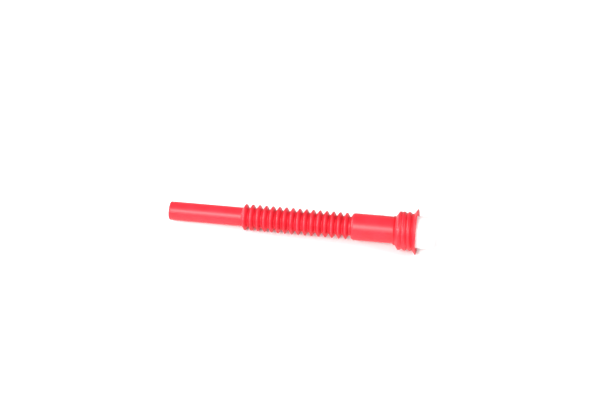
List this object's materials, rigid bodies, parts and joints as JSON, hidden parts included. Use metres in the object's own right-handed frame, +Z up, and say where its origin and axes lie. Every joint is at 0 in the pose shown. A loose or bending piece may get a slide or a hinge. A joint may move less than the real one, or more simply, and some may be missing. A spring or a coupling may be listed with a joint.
{
  "type": "jerry can pouring spout",
  "caption": "Flexible red pouring spout for a jerry can: straight nozzle, bellows that bend, plain sleeve, threaded neck and flared mouth with a white push-in stopper.",
  "frame": {"origin": "centre of the mouth's flared rim, in the plane of its face", "axes": "+X along the spout's axis out of the mouth, the nozzle points to -X; +Z up; +Y completes the frame"},
  "size_m": [0.2825, 0.048, 0.048],
  "materials": {
    "spout_red": "moulded polyethylene, soft gloss",
    "stopper_white": "moulded polyethylene, soft satin"
  },
  "bodies": {
    "spout_base": {"sleeve": "spout_red", "threaded_neck": "spout_red", "neck_thread": "spout_red", "mouth_flange": "spout_red"},
    "web_17": {"bellows_root_17": "spout_red"},
    "ring_16": {"bellows_crest_16": "spout_red"},
    "web_16": {"bellows_root_16": "spout_red"},
    "ring_15": {"bellows_crest_15": "spout_red"},
    "web_15": {"bellows_root_15": "spout_red"},
    "ring_14": {"bellows_crest_14": "spout_red"},
    "web_14": {"bellows_root_14": "spout_red"},
    "ring_13": {"bellows_crest_13": "spout_red"},
    "web_13": {"bellows_root_13": "spout_red"},
    "ring_12": {"bellows_crest_12": "spout_red"},
    "web_12": {"bellows_root_12": "spout_red"},
    "ring_11": {"bellows_crest_11": "spout_red"},
    "web_11": {"bellows_root_11": "spout_red"},
    "ring_10": {"bellows_crest_10": "spout_red"},
    "web_10": {"bellows_root_10": "spout_red"},
    "ring_09": {"bellows_crest_09": "spout_red"},
    "web_09": {"bellows_root_09": "spout_red"},
    "ring_08": {"bellows_crest_08": "spout_red"},
    "web_08": {"bellows_root_08": "spout_red"},
    "ring_07": {"bellows_crest_07": "spout_red"},
    "web_07": {"bellows_root_07": "spout_red"},
    "ring_06": {"bellows_crest_06": "spout_red"},
    "web_06": {"bellows_root_06": "spout_red"},
    "ring_05": {"bellows_crest_05": "spout_red"},
    "web_05": {"bellows_root_05": "spout_red"},
    "ring_04": {"bellows_crest_04": "spout_red"},
    "web_04": {"bellows_root_04": "spout_red"},
    "ring_03": {"bellows_crest_03": "spout_red"},
    "web_03": {"bellows_root_03": "spout_red"},
    "ring_02": {"bellows_crest_02": "spout_red"},
    "web_02": {"bellows_root_02": "spout_red"},
    "ring_01": {"bellows_crest_01": "spout_red"},
    "web_01": {"bellows_root_01": "spout_red"},
    "nozzle": {"nozzle_tube": "spout_red"},
    "stopper": {"stopper": "stopper_white"}
  },
  "joints": [
    {"name": "bend_up_17", "type": "hinge", "parent": "spout_base", "child": "web_17", "pos_m": [-0.07078, 0, 0], "axis": [0, 0.9998, 0.0175], "range_deg": [-5.3, 5.3], "stiffness_Nm_per_rad": 2.5, "deforming": ["bellows_root_17"]},
    {"name": "bend_side_17", "type": "hinge", "parent": "web_17", "child": "ring_16", "pos_m": [-0.07078, 0, 0], "axis": [0, -0.0175, 0.9998], "range_deg": [-5.3, 5.3], "stiffness_Nm_per_rad": 2.5},
    {"name": "bend_up_16", "type": "hinge", "parent": "ring_16", "child": "web_16", "pos_m": [-0.07798, 0, 0], "axis": [0, 0.9998, 0.0175], "range_deg": [-5.3, 5.3], "stiffness_Nm_per_rad": 2.5, "deforming": ["bellows_root_16"]},
    {"name": "bend_side_16", "type": "hinge", "parent": "web_16", "child": "ring_15", "pos_m": [-0.07798, 0, 0], "axis": [0, -0.0175, 0.9998], "range_deg": [-5.3, 5.3], "stiffness_Nm_per_rad": 2.5},
    {"name": "bend_up_15", "type": "hinge", "parent": "ring_15", "child": "web_15", "pos_m": [-0.08518, 0, 0], "axis": [0, 0.9998, 0.0175], "range_deg": [-5.3, 5.3], "stiffness_Nm_per_rad": 2.5, "deforming": ["bellows_root_15"]},
    {"name": "bend_side_15", "type": "hinge", "parent": "web_15", "child": "ring_14", "pos_m": [-0.08518, 0, 0], "axis": [0, -0.0175, 0.9998], "range_deg": [-5.3, 5.3], "stiffness_Nm_per_rad": 2.5},
    {"name": "bend_up_14", "type": "hinge", "parent": "ring_14", "child": "web_14", "pos_m": [-0.09238, 0, 0], "axis": [0, 0.9998, 0.0175], "range_deg": [-5.3, 5.3], "stiffness_Nm_per_rad": 2.5, "deforming": ["bellows_root_14"]},
    {"name": "bend_side_14", "type": "hinge", "parent": "web_14", "child": "ring_13", "pos_m": [-0.09238, 0, 0], "axis": [0, -0.0175, 0.9998], "range_deg": [-5.3, 5.3], "stiffness_Nm_per_rad": 2.5},
    {"name": "bend_up_13", "type": "hinge", "parent": "ring_13", "child": "web_13", "pos_m": [-0.09958, 0, 0], "axis": [0, 0.9998, 0.0175], "range_deg": [-5.3, 5.3], "stiffness_Nm_per_rad": 2.5, "deforming": ["bellows_root_13"]},
    {"name": "bend_side_13", "type": "hinge", "parent": "web_13", "child": "ring_12", "pos_m": [-0.09958, 0, 0], "axis": [0, -0.0175, 0.9998], "range_deg": [-5.3, 5.3], "stiffness_Nm_per_rad": 2.5},
    {"name": "bend_up_12", "type": "hinge", "parent": "ring_12", "child": "web_12", "pos_m": [-0.10678, 0, 0], "axis": [0, 0.9998, 0.0175], "range_deg": [-5.3, 5.3], "stiffness_Nm_per_rad": 2.5, "deforming": ["bellows_root_12"]},
    {"name": "bend_side_12", "type": "hinge", "parent": "web_12", "child": "ring_11", "pos_m": [-0.10678, 0, 0], "axis": [0, -0.0175, 0.9998], "range_deg": [-5.3, 5.3], "stiffness_Nm_per_rad": 2.5},
    {"name": "bend_up_11", "type": "hinge", "parent": "ring_11", "child": "web_11", "pos_m": [-0.11398, 0, 0], "axis": [0, 0.9998, 0.0175], "range_deg": [-5.3, 5.3], "stiffness_Nm_per_rad": 2.5, "deforming": ["bellows_root_11"]},
    {"name": "bend_side_11", "type": "hinge", "parent": "web_11", "child": "ring_10", "pos_m": [-0.11398, 0, 0], "axis": [0, -0.0175, 0.9998], "range_deg": [-5.3, 5.3], "stiffness_Nm_per_rad": 2.5},
    {"name": "bend_up_10", "type": "hinge", "parent": "ring_10", "child": "web_10", "pos_m": [-0.12118, 0, 0], "axis": [0, 0.9998, 0.0175], "range_deg": [-5.3, 5.3], "stiffness_Nm_per_rad": 2.5, "deforming": ["bellows_root_10"]},
    {"name": "bend_side_10", "type": "hinge", "parent": "web_10", "child": "ring_09", "pos_m": [-0.12118, 0, 0], "axis": [0, -0.0175, 0.9998], "range_deg": [-5.3, 5.3], "stiffness_Nm_per_rad": 2.5},
    {"name": "bend_up_09", "type": "hinge", "parent": "ring_09", "child": "web_09", "pos_m": [-0.12838, 0, 0], "axis": [0, 0.9998, 0.0175], "range_deg": [-5.3, 5.3], "stiffness_Nm_per_rad": 2.5, "deforming": ["bellows_root_09"]},
    {"name": "bend_side_09", "type": "hinge", "parent": "web_09", "child": "ring_08", "pos_m": [-0.12838, 0, 0], "axis": [0, -0.0175, 0.9998], "range_deg": [-5.3, 5.3], "stiffness_Nm_per_rad": 2.5},
    {"name": "bend_up_08", "type": "hinge", "parent": "ring_08", "child": "web_08", "pos_m": [-0.13558, 0, 0], "axis": [0, 0.9998, 0.0175], "range_deg": [-5.3, 5.3], "stiffness_Nm_per_rad": 2.5, "deforming": ["bellows_root_08"]},
    {"name": "bend_side_08", "type": "hinge", "parent": "web_08", "child": "ring_07", "pos_m": [-0.13558, 0, 0], "axis": [0, -0.0175, 0.9998], "range_deg": [-5.3, 5.3], "stiffness_Nm_per_rad": 2.5},
    {"name": "bend_up_07", "type": "hinge", "parent": "ring_07", "child": "web_07", "pos_m": [-0.14278, 0, 0], "axis": [0, 0.9998, 0.0175], "range_deg": [-5.3, 5.3], "stiffness_Nm_per_rad": 2.5, "deforming": ["bellows_root_07"]},
    {"name": "bend_side_07", "type": "hinge", "parent": "web_07", "child": "ring_06", "pos_m": [-0.14278, 0, 0], "axis": [0, -0.0175, 0.9998], "range_deg": [-5.3, 5.3], "stiffness_Nm_per_rad": 2.5},
    {"name": "bend_up_06", "type": "hinge", "parent": "ring_06", "child": "web_06", "pos_m": [-0.14998, 0, 0], "axis": [0, 0.9998, 0.0175], "range_deg": [-5.3, 5.3], "stiffness_Nm_per_rad": 2.5, "deforming": ["bellows_root_06"]},
    {"name": "bend_side_06", "type": "hinge", "parent": "web_06", "child": "ring_05", "pos_m": [-0.14998, 0, 0], "axis": [0, -0.0175, 0.9998], "range_deg": [-5.3, 5.3], "stiffness_Nm_per_rad": 2.5},
    {"name": "bend_up_05", "type": "hinge", "parent": "ring_05", "child": "web_05", "pos_m": [-0.15718, 0, 0], "axis": [0, 0.9998, 0.0175], "range_deg": [-5.3, 5.3], "stiffness_Nm_per_rad": 2.5, "deforming": ["bellows_root_05"]},
    {"name": "bend_side_05", "type": "hinge", "parent": "web_05", "child": "ring_04", "pos_m": [-0.15718, 0, 0], "axis": [0, -0.0175, 0.9998], "range_deg": [-5.3, 5.3], "stiffness_Nm_per_rad": 2.5},
    {"name": "bend_up_04", "type": "hinge", "parent": "ring_04", "child": "web_04", "pos_m": [-0.16438, 0, 0], "axis": [0, 0.9998, 0.0175], "range_deg": [-5.3, 5.3], "stiffness_Nm_per_rad": 2.5, "deforming": ["bellows_root_04"]},
    {"name": "bend_side_04", "type": "hinge", "parent": "web_04", "child": "ring_03", "pos_m": [-0.16438, 0, 0], "axis": [0, -0.0175, 0.9998], "range_deg": [-5.3, 5.3], "stiffness_Nm_per_rad": 2.5},
    {"name": "bend_up_03", "type": "hinge", "parent": "ring_03", "child": "web_03", "pos_m": [-0.17158, 0, 0], "axis": [0, 0.9998, 0.0175], "range_deg": [-5.3, 5.3], "stiffness_Nm_per_rad": 2.5, "deforming": ["bellows_root_03"]},
    {"name": "bend_side_03", "type": "hinge", "parent": "web_03", "child": "ring_02", "pos_m": [-0.17158, 0, 0], "axis": [0, -0.0175, 0.9998], "range_deg": [-5.3, 5.3], "stiffness_Nm_per_rad": 2.5},
    {"name": "bend_up_02", "type": "hinge", "parent": "ring_02", "child": "web_02", "pos_m": [-0.17878, 0, 0], "axis": [0, 0.9998, 0.0175], "range_deg": [-5.3, 5.3], "stiffness_Nm_per_rad": 2.5, "deforming": ["bellows_root_02"]},
    {"name": "bend_side_02", "type": "hinge", "parent": "web_02", "child": "ring_01", "pos_m": [-0.17878, 0, 0], "axis": [0, -0.0175, 0.9998], "range_deg": [-5.3, 5.3], "stiffness_Nm_per_rad": 2.5},
    {"name": "bend_up_01", "type": "hinge", "parent": "ring_01", "child": "web_01", "pos_m": [-0.18598, 0, 0], "axis": [0, 0.9998, 0.0175], "range_deg": [-5.3, 5.3], "stiffness_Nm_per_rad": 2.5, "deforming": ["bellows_root_01"]},
    {"name": "bend_side_01", "type": "hinge", "parent": "web_01", "child": "nozzle", "pos_m": [-0.18598, 0, 0], "axis": [0, -0.0175, 0.9998], "range_deg": [-5.3, 5.3], "stiffness_Nm_per_rad": 2.5},
    {"name": "stopper_slide", "type": "slide", "parent": "spout_base", "child": "stopper", "axis": [1, 0, 0], "range_m": [0, 0.03]}
  ],
  "couplings": [
    {"joint": "bend_up_16", "follows": "bend_up_17", "ratio": 1},
    {"joint": "bend_side_16", "follows": "bend_side_17", "ratio": 1},
    {"joint": "bend_up_15", "follows": "bend_up_17", "ratio": 1},
    {"joint": "bend_side_15", "follows": "bend_side_17", "ratio": 1},
    {"joint": "bend_up_14", "follows": "bend_up_17", "ratio": 1},
    {"joint": "bend_side_14", "follows": "bend_side_17", "ratio": 1},
    {"joint": "bend_up_13", "follows": "bend_up_17", "ratio": 1},
    {"joint": "bend_side_13", "follows": "bend_side_17", "ratio": 1},
    {"joint": "bend_up_12", "follows": "bend_up_17", "ratio": 1},
    {"joint": "bend_side_12", "follows": "bend_side_17", "ratio": 1},
    {"joint": "bend_up_11", "follows": "bend_up_17", "ratio": 1},
    {"joint": "bend_side_11", "follows": "bend_side_17", "ratio": 1},
    {"joint": "bend_up_10", "follows": "bend_up_17", "ratio": 1},
    {"joint": "bend_side_10", "follows": "bend_side_17", "ratio": 1},
    {"joint": "bend_up_09", "follows": "bend_up_17", "ratio": 1},
    {"joint": "bend_side_09", "follows": "bend_side_17", "ratio": 1},
    {"joint": "bend_up_08", "follows": "bend_up_17", "ratio": 1},
    {"joint": "bend_side_08", "follows": "bend_side_17", "ratio": 1},
    {"joint": "bend_up_07", "follows": "bend_up_17", "ratio": 1},
    {"joint": "bend_side_07", "follows": "bend_side_17", "ratio": 1},
    {"joint": "bend_up_06", "follows": "bend_up_17", "ratio": 1},
    {"joint": "bend_side_06", "follows": "bend_side_17", "ratio": 1},
    {"joint": "bend_up_05", "follows": "bend_up_17", "ratio": 1},
    {"joint": "bend_side_05", "follows": "bend_side_17", "ratio": 1},
    {"joint": "bend_up_04", "follows": "bend_up_17", "ratio": 1},
    {"joint": "bend_side_04", "follows": "bend_side_17", "ratio": 1},
    {"joint": "bend_up_03", "follows": "bend_up_17", "ratio": 1},
    {"joint": "bend_side_03", "follows": "bend_side_17", "ratio": 1},
    {"joint": "bend_up_02", "follows": "bend_up_17", "ratio": 1},
    {"joint": "bend_side_02", "follows": "bend_side_17", "ratio": 1},
    {"joint": "bend_up_01", "follows": "bend_up_17", "ratio": 1},
    {"joint": "bend_side_01", "follows": "bend_side_17", "ratio": 1}
  ]
}
